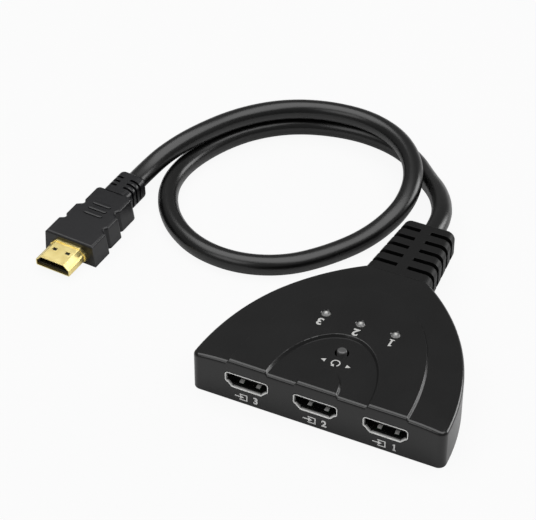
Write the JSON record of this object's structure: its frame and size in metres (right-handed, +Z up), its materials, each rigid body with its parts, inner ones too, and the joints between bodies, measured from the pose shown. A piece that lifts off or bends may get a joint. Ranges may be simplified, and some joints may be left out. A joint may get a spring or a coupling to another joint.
{
  "type": "hdmi switch box",
  "caption": "Low flared video switch box with front input sockets, a push button, indicator lamps, a ribbed boot and a captive output cable that ends in a plug.",
  "frame": {"origin": "on the underside, midway between the front face and the end of the cable boot, on the middle plane", "axes": "+X along the front face to the right of someone who looks into the sockets, +Y from the front face to the cable boot, +Z up"},
  "size_m": [0.1673, 0.1536, 0.017],
  "materials": {
    "housing_plastic": "fine satin moulding grain",
    "boot_vinyl": "matte soft moulding",
    "plug_vinyl": "satin soft moulding",
    "cable_jacket": "satin extruded jacket",
    "core_jacket": "plain insulated cores",
    "shell_metal": "bright plated sheet",
    "plug_gold": "polished gold plating",
    "contact_gold": "gold plated strip",
    "socket_insulator": "black moulded insulator",
    "button_plastic": "smooth moulded",
    "lamp_resin": "diffused grey resin",
    "board_laminate": "solder mask",
    "chip_plastic": "moulded package",
    "screw_steel": "zinc plated"
  },
  "bodies": {
    "housing": {"upper_housing": "housing_plastic", "bottom_cover": "housing_plastic", "case_screws": "screw_steel", "circuit_board": "board_laminate", "board_screws": "screw_steel", "switch_chip": "chip_plastic", "control_chip": "chip_plastic", "board_passives": "chip_plastic", "tact_switch_base": "button_plastic", "tact_switch_cover": "shell_metal", "tact_dome": "shell_metal", "tact_terminals": "shell_metal", "led_leads": "shell_metal", "cable_boot": "boot_vinyl", "cable_tail": "cable_jacket", "cable_cores": "core_jacket", "output_cable": "cable_jacket", "plug_shell": "plug_gold", "plug_insulator": "socket_insulator", "plug_contacts": "contact_gold", "plug_overmould": "plug_vinyl", "input_socket_shell_1": "shell_metal", "input_socket_shell_2": "shell_metal", "input_socket_shell_3": "shell_metal", "input_socket_tongue_1": "socket_insulator", "input_socket_tongue_2": "socket_insulator", "input_socket_tongue_3": "socket_insulator", "input_socket_contacts_1": "contact_gold", "input_socket_contacts_2": "contact_gold", "input_socket_contacts_3": "contact_gold", "status_led_1": "lamp_resin", "status_led_2": "lamp_resin", "status_led_3": "lamp_resin"},
    "button": {"select_button": "button_plastic"}
  },
  "joints": [
    {"name": "select_press", "type": "slide", "parent": "housing", "child": "button", "axis": [0, 0, -1], "range_m": [0, 0.0003], "stiffness_N_per_m": 600, "deforming": ["tact_dome"]}
  ]
}
